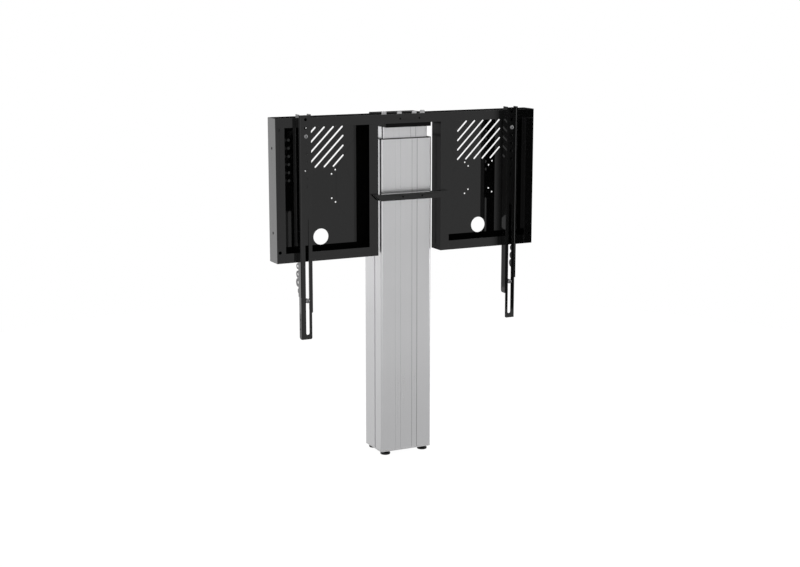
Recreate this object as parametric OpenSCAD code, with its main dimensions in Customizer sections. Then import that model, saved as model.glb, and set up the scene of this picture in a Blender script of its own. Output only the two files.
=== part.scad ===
// Motorized display stand: a two-stage lifting column with a wide sheet-steel display frame.
// Origin on the floor under the middle of the outer column, X to the right, Y to the back, Z up.

/* [Column] */
// Width of the outer column extrusion
col_w = 177; // [165:1:190]
// Depth of the outer column extrusion
col_d = 120; // [112:1:135]
// Radius of the outer column's corners
col_r = 7; // [5:0.5:9]
// Wall of the outer column
col_wall = 3.2; // [2.6:0.1:3.6]
// Length of the outer column
col_len = 995.5; // [960:0.5:1050]
// Gap between the faces of the outer and the inner column, across the width
stage_gap_x = 7.3; // [6.5:0.1:8]
// Gap between the faces of the outer and the inner column, across the depth
stage_gap_y = 6.8; // [6:0.1:7.5]
// Radius of the inner column's corners
inner_r = 6; // [4:0.5:8]
// Wall of the inner column
inner_wall = 3; // [2.5:0.1:3.5]
// Length of the inner column
inner_len = 790; // [740:5:800]
// Height of inner column that shows above the cap ring when lowered
inner_show = 35.7; // [25:0.1:60]
// Travel of the lift
stroke = 500; // [400:10:500]
// Inner edge of the shallow channels, from the middle
channel_from = 19.5; // [15:0.5:25]
// Width of the shallow channels
channel_w = 19; // [14:0.5:22]
// Depth of the shallow channels
channel_deep = 0.5; // [0.3:0.1:0.8]
// Width of the groove along each edge of a channel
groove_w = 1.2; // [0.8:0.1:1.6]
// Depth of the grooves
groove_deep = 1.4; // [0.9:0.1:1.5]
// Width of the accessory slot in each side
side_slot_w = 9; // [6:0.5:10]
// Depth of the accessory slot in each side
side_slot_deep = 3.6; // [2.5:0.1:4]
// Distance of the accessory slot in front of the middle
side_slot_y = 15; // [12:0.5:15]
// Thickness of the cap ring on the outer column
cap_t = 2.5; // [2:0.1:5]

/* [Foot] */
// Height of the base plate's underside above the floor
foot_h = 12; // [10:0.5:20]
// Diameter of a levelling foot
foot_d = 32; // [26:1:36]
// Diameter of a levelling foot's stud
stud_d = 10; // [8:1:12]
// Length of the stud above the base plate's underside
stud_len = 28; // [18:1:29]
// Distance of a foot from the middle, across the width
foot_x = 66; // [60:1:68]
// Distance of a foot from the middle, across the depth
foot_y = 42.4; // [36:0.2:43]
// Thickness of the base plate
base_t = 5; // [4:0.5:8]

/* [Drive] */
// Height of the motor carrier above the base plate
carrier_up = 25; // [25:1:40]
// Thickness of the motor carrier
carrier_t = 5; // [4:0.5:8]
// Diameter of the lead screw
screw_d = 18; // [14:1:20]
// Diameter of the motor
motor_d = 62; // [54:1:62]
// Length of the motor
motor_len = 112; // [90:1:115]
// Height of the gearbox
gearbox_h = 45; // [38:1:48]
// Thickness of the nut plate under the inner column
nut_plate_t = 8; // [6:0.5:10]

/* [Head] */
// Width of the head bracket
head_w = 154; // [148:1:156]
// Thickness of the head plate
head_plate_t = 6; // [5:0.5:8]
// Height from the inner column to the frame's top sheet
head_h = 39.3; // [32:0.1:60]
// Wall of the head bracket
head_wall = 3; // [2.5:0.1:4]
// Thickness of the head bracket's top
head_top_t = 5; // [4:0.5:8]

/* [Frame] */
// Width of the frame
frame_w = 888; // [860:1:920]
// Height of the frame
frame_h = 435; // [428:1:460]
// Depth of the frame
frame_d = 60; // [55:0.5:70]
// Thickness of the frame's sheet steel
sheet = 2; // [1.5:0.1:3]
// Width of the lip round each opening
lip = 29; // [24:0.5:33]
// Width of the lip on the inner posts
inner_lip = 30; // [26:0.5:36]
// Clear width between the two boxes, where the column stands
box_gap = 216; // [205:1:230]
// Distance of the frame's front in front of the column's front
frame_reach = 24.4; // [22:0.2:30]

/* [Back panels] */
// Width of the vent field
vent_w = 152; // [140:2:170]
// Height of the vent field
vent_h = 120; // [110:2:130]
// Distance from the frame's top to the vent field
vent_down = 36.5; // [35:0.5:45]
// Distance between vent slots
vent_pitch = 30; // [26:1:36]
// Width of a vent slot
vent_slot = 5; // [4:0.5:7]
// Spacing of the large display hole pattern
pattern_large = 100; // [100:1:100]
// Spacing of the small display hole pattern
pattern_small = 75; // [75:1:75]
// Diameter of the pattern holes
pattern_hole = 5; // [4.5:0.1:5.5]
// Diameter of the cable hole
cable_d = 50; // [40:1:60]
// Height of the cable hole above the frame's underside
cable_up = 63.4; // [60:0.2:80]

/* [Crossbar] */
// Height of the crossbar
bar_h = 20.5; // [18:0.5:24]
// Depth of the crossbar
bar_d = 20; // [16:0.5:24]
// Distance from the frame's top to the crossbar
bar_down = 243; // [230:1:260]
// Distance of the trim holes from the middle
trim_hole_x = 33; // [25:1:40]

/* [Arms] */
// Distance of the left arm's slot from the frame's left end
left_arm_in = 86.5; // [44:0.5:144]
// Distance of the right arm's slot from the frame's right end
right_arm_in = 96; // [44:0.5:144]
// Distance of the arms' faces in front of the frame
arm_stand = 25; // [20:0.5:30]
// Thickness of the arms' sheet steel
arm_t = 2.5; // [2:0.1:3]
// Distance from the slot's middle to the rail's inner edge
rail_in = 14.2; // [12:0.1:17]
// Distance from the slot's middle to the rail's outer edge
rail_out = 19.8; // [18:0.1:24]
// Height of the arms above the frame's top
arm_over = 9; // [8:0.5:14]
// Distance from the frame's top to the rail's lower end
rail_down = 670; // [650:1:700]
// Distance from the frame's top to the side plate's lower end
side_down = 588; // [575:1:600]
// Distance from the frame's top to the toothed plate's lower end
tooth_down = 539; // [525:1:560]
// Width of the long slot
slot_w = 11; // [9:0.5:12]
// Distance from the frame's top to the slot's upper end
slot_from = 298; // [280:1:320]
// Distance from the frame's top to the slot's lower end
slot_to = 656; // [620:1:660]
// Diameter of the holes in a rail
rail_hole = 9; // [8.6:0.1:10]
// Distance between the holes in a rail
rail_pitch = 25; // [25:1:26]
// Distance from the frame's top to the first hole
first_hole = 4; // [3:0.5:5]
// Number of holes in a rail
hole_count = 9; // [5:1:10]
// Depth of the rail's side flange
flange_deep = 19; // [16:0.5:22]
// Number of holes in a toothed plate, each in a round tooth
tooth_count = 3; // [1:1:3]
// Distance between the holes in a toothed plate
tooth_pitch = 25; // [24:0.5:26]
// Diameter of the holes in a toothed plate
tooth_hole = 11; // [8:0.5:12]
// Radius of the first tooth
tooth_r = 9; // [8.5:0.5:10]
// How much each tooth's radius grows over the one before it
tooth_grow = 2; // [0:0.5:2]

/* [Hidden] */
$fn = 48;

// Clearances
run_gap = 0.3;      // between bodies that slide past each other
shaft_gap = 0.08;   // round a turning or screwed shaft, on the radius
seat_gap = 0.2;     // round a fixed screw or plug, on the radius
eps = 0.5;          // how far a cutter runs past a face

// Heights
base_z = foot_h;
col_z = base_z + base_t;
col_top = col_z + col_len;
cap_top = col_top + cap_t;
inner_top = cap_top + inner_show;
inner_z = inner_top - inner_len;
frame_top = inner_top + head_h + sheet;
frame_z = frame_top - frame_h;
carrier_z = col_z + carrier_up;
gearbox_z = carrier_z + carrier_t;
bearing_z = gearbox_z + gearbox_h;

// Column sections
cavity_w = col_w - 2 * col_wall;
cavity_d = col_d - 2 * col_wall;
inner_w = cavity_w - 2 * stage_gap_x;
inner_d = cavity_d - 2 * stage_gap_y;
hollow_w = inner_w - 2 * inner_wall;
hollow_d = inner_d - 2 * inner_wall;
port_r = 5;
port_bore = 4.8;
port_x = cavity_w / 2 - port_r + 0.2;
port_y = cavity_d / 2 - port_r + 0.2;
inner_port_r = 4.5;
inner_port_bore = 4.2;
inner_port_x = hollow_w / 2 - inner_port_r + 0.2;
inner_port_y = hollow_d / 2 - inner_port_r + 0.2;
slot_rib = 3;
port_fill = 0.4;

// Glides
glide_w = 26;
glide_len = 70;
glide_x = channel_from + channel_w + glide_w / 2 + 3;
side_glide_w = 18;
side_glide_y = side_slot_y + side_slot_w / 2 + 3 + side_glide_w / 2 + 1.5;
glide_top = 12;

// Drive
motor_x = screw_d / 2 + motor_d / 2 + 7;
gearbox_from = -34;
gearbox_deep = 68;
control_from = 8 - cavity_w / 2;
control_w = gearbox_from - 1.3 - control_from;
control_deep = 76;
control_h = 138;
bearing_d = 30;
bearing_h = 8;
journal_d = 12;
collar_h = 4.5;
nut_d = 28;
nut_flange_d = 44;
nut_flange_h = 8;
nut_up = 25;
screw_top = inner_z + stroke + 2 * nut_up;
carrier_side = 6;
carrier_back = 8;
post_d = 12;
post_x = 48;
post_y = 30;
grommet_up = 63;
grommet_z = gearbox_z + grommet_up;
grommet_d = 20;
cord_d = 9;

// Frame
front_y = -col_d / 2 - frame_reach;
rear_y = front_y + frame_d;
rail_h = lip;
inner_x = box_gap / 2;
outer_x = frame_w / 2;
panel_x = (inner_x + outer_x) / 2;
pattern_z = frame_top - frame_h / 2;
post_hole_d = 10;
post_hole_in = 10;
post_hole_top = 35;
post_hole_bottom = 33;
side_hole_d = 8;
side_hole_end = 90;
trim_hole_d = 5.5;
trim_hole_down = 15;

// Head
head_front_y = front_y + sheet + 3;
head_rear_y = inner_d / 2;
head_deep = head_rear_y - head_front_y;
head_hole_d = 40;
bolt_d = 8;
bolt_across = 13;
bolt_head_h = 5.3;
bolt_nut_h = 6.5;
clamp_head_d = 13.6;
clamp_head_h = 4.2;
clamp_nut_h = 5;
clamp_socket = 5;
screw_bite = 14;
wide_bolt_x = 66;
wide_bolt_in = 46;
wide_bolt_y = front_y + wide_bolt_in;
near_bolt_x = 25.5;
near_bolt_in = 21;
near_bolt_y = front_y + near_bolt_in;

// Arms
left_arm_x = left_arm_in - outer_x;
right_arm_x = outer_x - right_arm_in;
arm_y = front_y - arm_stand;
arm_deep = arm_stand - 0.6;
rail_bend = 4;
rail_corner = 4.5;
flange_corner = 8;
flange_hole_d = 5;
flange_hole_up = 31;
flange_hole_pitch = 29;
flange_hole_in = 7.5;
side_t = 3;
side_corner = 8;
plate_rise = 2;
hook_t = 3;
hook_w = rail_in + rail_out - rail_bend;
hook_down = 16;
hook_over = 9;
jaw_t = 3;
jaw_w = 24;
jaw_from = 8;
jaw_under = 10;
jaw_y = arm_stand + sheet + run_gap;
clamp_hole = 2;
clamp_high = first_hole + clamp_hole * rail_pitch;
clamp_low_up = 37;
clamp_low = side_down - clamp_low_up;
tab_h = 12;
tab_over = 9;
tooth_t = 2;
tooth_y = flange_deep + tooth_hole / 2;
tooth_from = frame_h + 2 + tooth_r;
last_tooth_r = 8;
last_tooth_up = 18;

// Rectangle with round corners, centred
module round_rect(w, d, r) {
    square([w - 2 * r, d], center = true);
    square([w, d - 2 * r], center = true);
    for (x = [-1, 1], y = [-1, 1])
        translate([x * (w / 2 - r), y * (d / 2 - r)]) circle(r);
}

// The same shape at the four corners of a rectangle
module four(x, y) {
    for (sx = [-1, 1], sy = [-1, 1])
        translate([sx * x, sy * y, 0]) children();
}

// Round screw ports that grow out of the corners of a hollow section
module ports(x, y, r) {
    four(x, y) circle(r);
    four(x + r / 2 - port_fill, y + r / 2 - port_fill) square(r - 2 * port_fill, center = true);
}

// Shallow channels in the front and the back of a column section, with a groove along each edge
module channels(d) {
    for (sx = [-1, 1], sy = [-1, 1]) {
        translate([sx * (channel_from + channel_w / 2), sy * d / 2])
            square([channel_w, 2 * channel_deep], center = true);
        for (x = [channel_from + groove_w / 2, channel_from + channel_w - groove_w / 2])
            translate([sx * x, sy * d / 2]) square([groove_w, 2 * groove_deep], center = true);
    }
}

// A drilled hole along Y
module hole_y(x, z, d, y, len) {
    translate([x, y - eps, z]) rotate([-90, 0, 0]) cylinder(d = d, h = len + 2 * eps);
}

// Hexagonal prism of the given width across its flats
module hex(across, h) cylinder(d = across / cos(30), h = h, $fn = 6);

// Shank and nut of a bolt that hangs down from z = 0 through the given grip
module shank_and_nut(grip, nut_h) {
    translate([0, 0, -grip - nut_h - 1]) cylinder(d = bolt_d, h = grip + nut_h + 1.5);
    translate([0, 0, -grip - nut_h]) hex(bolt_across, nut_h);
}

// Hex bolt along Z, the underside of its head at z = 0
module hex_bolt(grip) {
    hex(bolt_across, bolt_head_h);
    shank_and_nut(grip, bolt_nut_h);
}

// Button head screw with a hexagon socket along Z, the underside of its head at z = 0
module button_screw(grip) difference() {
    union() {
        rotate_extrude() polygon([
            [0, 0], [clamp_head_d / 2, 0], [clamp_head_d / 2, 1], [clamp_head_d / 2 - 1, 2.4],
            [clamp_head_d / 2 - 2.5, clamp_head_h - 0.6], [clamp_head_d / 2 - 4, clamp_head_h],
            [0, clamp_head_h]
        ]);
        shank_and_nut(grip, clamp_nut_h);
    }
    translate([0, 0, clamp_head_h - 2.5]) hex(clamp_socket, 2.5 + eps);
}

// Countersunk screw, head up at z = 0
module flat_screw(d, len) {
    cylinder(d = d, h = len);
    translate([0, 0, len - d / 2]) cylinder(d1 = d, d2 = 2 * d, h = d / 2, $fn = 32);
}

module base_plate() color("silver") difference() {
    union() {
        translate([0, 0, base_z]) linear_extrude(base_t) round_rect(col_w, col_d, col_r);
        translate([0, 0, col_z]) four(foot_x, foot_y) cylinder(d = stud_d + 8, h = 10);
    }
    translate([0, 0, base_z - eps]) {
        four(foot_x, foot_y) cylinder(r = stud_d / 2 + shaft_gap, h = base_t + 12);
        four(port_x, port_y) cylinder(r = port_bore / 2 + seat_gap, h = base_t + 2 * eps);
    }
    translate([0, 0, base_z]) four(port_x, port_y)
        translate([0, 0, -0.01]) cylinder(d1 = 2 * port_bore + 0.4, d2 = port_bore, h = port_bore / 2 + 0.2);
}

module base_screws() color("dimgray") translate([0, 0, base_z]) four(port_x, port_y)
    translate([0, 0, base_t + screw_bite]) rotate([180, 0, 0])
        flat_screw(port_bore - 0.1, base_t + screw_bite);

// Levelling foot: a pad with a bevelled rim, a neck and a threaded stud
module foot(sx, sy) color("dimgray") translate([sx * foot_x, sy * foot_y, 0]) rotate_extrude()
    polygon([
        [0, 0], [foot_d / 2 - 1, 0], [foot_d / 2, 1], [foot_d / 2, 5], [foot_d / 2 - 4, 8],
        [stud_d / 2 + 3.5, 8], [stud_d / 2 + 3.5, foot_h - run_gap], [stud_d / 2, foot_h - run_gap],
        [stud_d / 2, foot_h + stud_len - 1], [stud_d / 2 - 1, foot_h + stud_len], [0, foot_h + stud_len]
    ]);

module outer_section() difference() {
    union() {
        difference() {
            round_rect(col_w, col_d, col_r);
            round_rect(cavity_w, cavity_d, col_r - col_wall);
            channels(col_d);
        }
        ports(port_x, port_y, port_r);
        for (sx = [-1, 1])
            translate([sx * (cavity_w - slot_rib) / 2, -side_slot_y])
                square([slot_rib + 0.2, side_slot_w + 6], center = true);
    }
    four(port_x, port_y) circle(d = port_bore);
    for (sx = [-1, 1])
        translate([sx * col_w / 2, -side_slot_y])
            square([2 * side_slot_deep, side_slot_w], center = true);
}

module outer_column() color("silver") difference() {
    translate([0, 0, col_z]) linear_extrude(col_len) outer_section();
    hole_y(0, grommet_z, grommet_d, cavity_d / 2, col_wall);
}

module column_cap() color("#202020") {
    translate([0, 0, col_top]) linear_extrude(cap_t) difference() {
        round_rect(col_w, col_d, col_r);
        round_rect(inner_w + 2 * run_gap, inner_d + 2 * run_gap, inner_r + run_gap);
    }
    for (sy = [-1, 1])
        translate([-channel_from, sy * (cavity_d / 2 - 0.8) - 0.8, col_top - 10])
            cube([2 * channel_from, 1.6, 10]);
}

// Eight plastic glides in the gap between the stages, from one face with a running gap to the other
module glides(z, x_near, x_far, y_near, y_far) translate([0, 0, z]) for (s = [-1, 1]) {
    for (sx = [-1, 1])
        translate([sx * glide_x - glide_w / 2, min(s * y_near, s * y_far), 0])
            cube([glide_w, y_far - y_near, glide_len]);
    for (sy = [-1, 1])
        translate([min(s * x_near, s * x_far), sy * side_glide_y - side_glide_w / 2, 0])
            cube([x_far - x_near, side_glide_w, glide_len]);
}

module upper_glides() color("white") glides(
    col_top - glide_top - glide_len, inner_w / 2 + run_gap, cavity_w / 2,
    inner_d / 2 + run_gap, cavity_d / 2);

module lower_glides() color("white") glides(
    inner_z + 2, inner_w / 2, cavity_w / 2 - run_gap, inner_d / 2, cavity_d / 2 - run_gap);

module motor_carrier() color("gray") difference() {
    translate([0, 0, carrier_z]) linear_extrude(carrier_t)
        round_rect(cavity_w - 2 * carrier_side, cavity_d - 2 * carrier_back, 6);
    translate([0, 0, carrier_z - eps]) cylinder(d = journal_d + 6, h = carrier_t + 2 * eps);
}

module carrier_posts() color("gray") translate([0, 0, col_z])
    four(post_x, post_y) cylinder(d = post_d, h = carrier_up);

module gearbox() color("dimgray") difference() {
    union() {
        translate([(gearbox_from + motor_x + motor_d / 2) / 2, 0, gearbox_z])
            linear_extrude(gearbox_h)
                round_rect(motor_x + motor_d / 2 - gearbox_from, gearbox_deep, 8);
        translate([motor_x, 0, gearbox_z]) cylinder(d = motor_d, h = gearbox_h);
    }
    translate([0, 0, gearbox_z + 8]) cylinder(r = journal_d / 2 + shaft_gap, h = gearbox_h);
}

module motor() color("darkgray") translate([motor_x, 0, bearing_z]) rotate_extrude() polygon([
    [0, 0], [motor_d / 2, 0], [motor_d / 2, 4], [motor_d / 2 - 2, 5], [motor_d / 2 - 2, motor_len - 14],
    [motor_d / 2 - 1, motor_len - 13], [motor_d / 2 - 1, motor_len - 3], [motor_d / 2 - 4, motor_len],
    [9, motor_len], [9, motor_len + 4], [0, motor_len + 4]
]);

module control_box() color("#303030") translate([control_from, -control_deep / 2, gearbox_z]) {
    cube([control_w, control_deep, 8]);
    translate([0, 1, 8]) cube([control_w - 1.5, control_deep - 2, control_h]);
}

module screw_bearing() color("gainsboro") translate([0, 0, bearing_z]) difference() {
    cylinder(d = bearing_d, h = bearing_h);
    translate([0, 0, -eps]) cylinder(r = journal_d / 2 + shaft_gap, h = bearing_h + 2 * eps);
}

module cable_grommet() color("#181818") translate([0, cavity_d / 2, grommet_z]) rotate([-90, 0, 0])
    difference() {
        union() {
            translate([0, 0, -2]) cylinder(d = grommet_d + 6, h = 2);
            translate([0, 0, -1]) cylinder(d = grommet_d - 2 * shaft_gap, h = col_wall + 2);
            translate([0, 0, col_wall]) cylinder(d = grommet_d + 6, h = 2);
        }
        translate([0, 0, -3]) cylinder(d = cord_d, h = col_wall + 6);
    }

// Trapezoidal screw shown by its outer diameter, with its journal and collar
module lead_screw() color("lightgray") rotate_extrude() polygon([
    [0, gearbox_z + 10], [journal_d / 2, gearbox_z + 10],
    [journal_d / 2, bearing_z + bearing_h + run_gap],
    [screw_d / 2 + 3, bearing_z + bearing_h + run_gap],
    [screw_d / 2 + 3, bearing_z + bearing_h + run_gap + collar_h],
    [screw_d / 2, bearing_z + bearing_h + run_gap + collar_h],
    [screw_d / 2, screw_top - 2], [screw_d / 2 - 2, screw_top], [0, screw_top]
]);

module inner_section() difference() {
    union() {
        difference() {
            round_rect(inner_w, inner_d, inner_r);
            round_rect(hollow_w, hollow_d, inner_r - inner_wall);
            channels(inner_d);
        }
        ports(inner_port_x, inner_port_y, inner_port_r);
    }
    four(inner_port_x, inner_port_y) circle(d = inner_port_bore);
}

module inner_column() color("silver")
    translate([0, 0, inner_z]) linear_extrude(inner_len) inner_section();

module nut_plate() color("gray") translate([0, 0, inner_z - nut_plate_t]) difference() {
    linear_extrude(nut_plate_t) round_rect(inner_w - 2, inner_d - 2, inner_r - 1);
    translate([0, 0, -eps]) {
        cylinder(d = nut_d, h = nut_plate_t + 2 * eps);
        four(inner_port_x, inner_port_y)
            cylinder(r = inner_port_bore / 2 + seat_gap, h = nut_plate_t + 2 * eps);
    }
}

module nut_plate_screws() color("dimgray") translate([0, 0, inner_z - nut_plate_t])
    four(inner_port_x, inner_port_y) {
        translate([0, 0, -3]) cylinder(d = 2 * inner_port_bore, h = 3);
        cylinder(d = inner_port_bore - 0.1, h = nut_plate_t + screw_bite);
    }

module lead_nut() color("goldenrod") translate([0, 0, inner_z - nut_plate_t]) difference() {
    union() {
        translate([0, 0, -nut_flange_h]) cylinder(d = nut_flange_d, h = nut_flange_h);
        cylinder(d = nut_d - 0.1, h = nut_plate_t + nut_up);
    }
    translate([0, 0, -nut_flange_h - eps])
        cylinder(r = screw_d / 2 + shaft_gap, h = nut_flange_h + nut_plate_t + nut_up + 2 * eps);
}

// Outline shared by the head plate and the head bracket
module head_outline(inset) translate([0, (head_front_y + head_rear_y) / 2])
    round_rect(head_w - 2 * inset, head_deep - 2 * inset, max(4 - inset, 1));

module head_plate() color("#202020") translate([0, 0, inner_top]) difference() {
    linear_extrude(head_plate_t) head_outline(0);
    translate([0, 0, -eps]) four(inner_port_x, inner_port_y)
        cylinder(r = inner_port_bore / 2 + seat_gap, h = head_plate_t + 2 * eps);
    translate([0, 0, -eps]) cylinder(d = head_hole_d, h = head_plate_t + 2 * eps);
}

module head_screws() color("dimgray") translate([0, 0, inner_top + head_plate_t])
    four(inner_port_x, inner_port_y) {
        cylinder(d = 1.5 * inner_port_bore, h = 3);
        translate([0, 0, -head_plate_t - screw_bite])
            cylinder(d = inner_port_bore - 0.1, h = head_plate_t + screw_bite);
    }

module frame_bolt_places() {
    for (s = [-1, 1]) {
        translate([s * wide_bolt_x, wide_bolt_y, 0]) children();
        translate([s * near_bolt_x, near_bolt_y, 0]) children();
    }
}

module head_bracket() color("#202020") difference() {
    translate([0, 0, inner_top + head_plate_t])
        linear_extrude(head_h - head_plate_t) head_outline(0);
    translate([0, 0, inner_top + head_plate_t - eps])
        linear_extrude(head_h - head_plate_t - head_top_t + eps) head_outline(head_wall);
    translate([0, 0, frame_top - sheet - head_top_t - eps])
        frame_bolt_places() cylinder(d = bolt_d + 2 * seat_gap, h = head_top_t + 2 * eps);
}

module frame_bolts() color("lightgray") translate([0, 0, frame_top])
    frame_bolt_places() hex_bolt(sheet + head_top_t);

module top_rail() color("#282828") difference() {
    union() {
        translate([-outer_x, front_y, frame_top - sheet]) cube([frame_w, frame_d, sheet]);
        translate([-outer_x, front_y, frame_top - rail_h]) cube([frame_w, sheet, rail_h]);
    }
    translate([0, 0, frame_top - sheet - eps])
        frame_bolt_places() cylinder(d = bolt_d + 2 * seat_gap, h = sheet + 2 * eps);
    for (s = [-1, 1])
        hole_y(s * trim_hole_x, frame_top - trim_hole_down, trim_hole_d, front_y, sheet);
}

// Folded post: a wall from front to back and a lip across the front, on side s
module post(s, wall_x, lip_from, lip_w) {
    translate([s * wall_x - sheet / 2, front_y, frame_z]) cube([sheet, frame_d, frame_h - rail_h]);
    translate([s * wall_x - sheet / 2, front_y + sheet, frame_z])
        cube([sheet, frame_d - sheet, frame_h - sheet]);
    translate([min(s * lip_from, s * (lip_from + lip_w)), front_y, frame_z])
        cube([lip_w, sheet, frame_h - rail_h]);
}

module outer_post(s) color("#282828") difference() {
    post(s, outer_x - sheet / 2, outer_x - lip, lip);
    for (z = [frame_top - post_hole_top, frame_z + post_hole_bottom])
        hole_y(s * (outer_x - post_hole_in), z, post_hole_d, front_y, sheet);
    for (z = [frame_top - side_hole_end, frame_z + side_hole_end])
        translate([s * outer_x, front_y + frame_d / 2, z]) rotate([0, 90, 0])
            cylinder(d = side_hole_d, h = 4 * sheet, center = true);
}

module inner_post(s) color("#282828") post(s, inner_x + sheet / 2, inner_x, inner_lip);

module sill(s) color("#282828") {
    translate([s * panel_x, 0, 0]) {
        translate([-(outer_x - inner_x) / 2 + sheet, front_y + sheet, frame_z])
            cube([outer_x - inner_x - 2 * sheet, frame_d - sheet, sheet]);
    }
    translate([min(s * (inner_x + inner_lip), s * (outer_x - lip)), front_y, frame_z])
        cube([outer_x - inner_x - lip - inner_lip, sheet, lip]);
}

// One slanted vent slot with round ends, between two points of the panel
module vent(a, b) {
    len = norm(b - a);
    translate([a[0], 0, a[1]]) rotate([0, -atan2(b[1] - a[1], b[0] - a[0]), 0]) {
        translate([0, 0, -vent_slot / 2]) cube([len, sheet + 2 * eps, vent_slot]);
        for (x = [0, len])
            translate([x, 0, 0]) rotate([-90, 0, 0])
                cylinder(d = vent_slot, h = sheet + 2 * eps, $fn = 24);
    }
}

// Slots at 45 degrees that fill the vent field, both panels slanting the same way
module vents() {
    count = floor((vent_w + vent_h) / vent_pitch - 0.5);
    translate([-vent_w / 2, -eps, frame_top - vent_down - vent_h])
        for (k = [1:count]) {
            off = vent_h - k * vent_pitch;
            vent([max(0, -off), max(0, off)], [min(vent_w, vent_h - off), min(vent_h, vent_w + off)]);
        }
}

module back_panel(s) color("#282828") translate([s * panel_x, rear_y - sheet, 0]) difference() {
    translate([-(outer_x - inner_x) / 2 + sheet, 0, frame_z + sheet])
        cube([outer_x - inner_x - 2 * sheet, sheet, frame_h - 2 * sheet]);
    vents();
    hole_y(0, frame_z + cable_up, cable_d, 0, sheet);
    for (p = [pattern_large, pattern_small], x = [-1, 1], z = [-1, 1])
        hole_y(x * p / 2, pattern_z + z * p / 2, pattern_hole, 0, sheet);
}

// Square tube with its ends cut at 45 degrees down to the inner posts
module crossbar() color("#282828") translate([0, front_y, frame_top - bar_down]) difference() {
    rotate([90, 0, 0]) linear_extrude(bar_d) polygon([
        [-inner_x, -bar_h], [inner_x, -bar_h], [inner_x + bar_h, 0], [-inner_x - bar_h, 0]
    ]);
    translate([-inner_x - bar_h, -bar_d + sheet, -bar_h + sheet])
        cube([box_gap + 2 * bar_h, bar_d - 2 * sheet, bar_h - 2 * sheet]);
    for (s = [-1, 1]) hole_y(s * trim_hole_x, -bar_h / 2, trim_hole_d, -bar_d, sheet);
}

// Everything on an arm is drawn with X pointing away from the stand's middle, slot at X = 0,
// Y from the arm's face and Z from the frame's top
module on_arm(s) translate([s < 0 ? left_arm_x : right_arm_x, arm_y, frame_top])
    mirror([s < 0 ? 1 : 0, 0, 0]) children();

// Angle section with a bent outer corner, front face on Y = 0
module rail_section() {
    translate([-rail_in, 0]) square([rail_in + rail_out - rail_bend, arm_t]);
    translate([rail_out - arm_t, rail_bend]) square([arm_t, flange_deep - rail_bend]);
    translate([rail_out - rail_bend, rail_bend]) intersection() {
        difference() {
            circle(rail_bend);
            circle(rail_bend - arm_t);
        }
        translate([0, -rail_bend]) square(rail_bend);
    }
}

// Cuts that round a lower corner of a plate, at the origin, with the plate towards +X and +Z
module corner_cut(r, t) difference() {
    translate([-eps, 0, -eps]) cube([r + eps, t, r + eps]);
    translate([r, -eps, r]) rotate([-90, 0, 0]) cylinder(r = r, h = t + 2 * eps);
}

module arm_rail(s) color("#242424") on_arm(s) difference() {
    translate([0, 0, -rail_down]) linear_extrude(rail_down + arm_over) rail_section();
    for (k = [0:hole_count - 1])
        hole_y(0, -first_hole - k * rail_pitch, rail_hole, 0, arm_t);
    hole_y(0, -slot_from - slot_w / 2, slot_w, 0, arm_t);
    hole_y(0, -slot_to + slot_w / 2, slot_w, 0, arm_t);
    translate([-slot_w / 2, -eps, -slot_to + slot_w / 2])
        cube([slot_w, arm_t + 2 * eps, slot_to - slot_from - slot_w]);
    for (k = [0, 1])
        translate([rail_out - arm_t - eps, flange_deep - flange_hole_in,
                -rail_down + flange_hole_up + k * flange_hole_pitch])
            rotate([0, 90, 0]) cylinder(d = flange_hole_d, h = arm_t + 2 * eps);
    translate([-rail_in, -eps, -rail_down]) corner_cut(rail_corner, arm_t + 2 * eps);
    translate([rail_out - arm_t - eps, flange_deep, -rail_down]) rotate([0, 0, -90])
        corner_cut(flange_corner, arm_t + 2 * eps);
}

// Folded hook: one leg behind the rail and a short one that rests on the frame's top sheet
module arm_hook(s) color("#242424") on_arm(s) difference() {
    union() {
        translate([-rail_in, arm_t, -clamp_high - hook_down])
            cube([hook_w, hook_t, clamp_high + hook_down + run_gap + hook_t]);
        translate([-rail_in, arm_t, run_gap])
            cube([hook_w, arm_stand + hook_over - arm_t, hook_t]);
    }
    for (k = [0:clamp_hole])
        hole_y(0, -first_hole - k * rail_pitch, k == clamp_hole ? bolt_d + 2 * seat_gap : rail_hole,
            arm_t, hook_t);
}

// Jaw that the upper clamp screw pulls against the inner face of the frame's front sheet
module arm_jaw(s) color("#242424") on_arm(s) difference() {
    translate([-jaw_w / 2, jaw_y, -clamp_high - jaw_under])
        cube([jaw_w, jaw_t, clamp_high + jaw_under - jaw_from]);
    hole_y(0, -clamp_high, bolt_d + 2 * seat_gap, jaw_y, jaw_t);
}

// Plate on the inner side, with a folded tab that takes the lower clamp screw
module arm_side_plate(s) color("#242424") on_arm(s) difference() {
    union() {
        translate([-rail_in - side_t, 0, -side_down])
            cube([side_t, arm_deep, side_down + arm_over + plate_rise]);
        translate([-rail_in - side_t / 2, arm_t, -clamp_low - tab_h / 2])
            cube([rail_in + side_t / 2 + tab_over, arm_t, tab_h]);
    }
    hole_y(0, -clamp_low, bolt_d + 2 * seat_gap, arm_t, arm_t);
    translate([-rail_in - side_t - eps, arm_deep, -side_down]) rotate([0, 0, -90])
        corner_cut(side_corner, side_t + 2 * eps);
}

// Cylinder along X in the toothed plate's plane, at a depth y and a height z
module tooth_disc(y, z, r, over) translate([-over, y, z]) rotate([0, 90, 0])
    cylinder(r = r, h = tooth_t + 2 * over);

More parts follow.
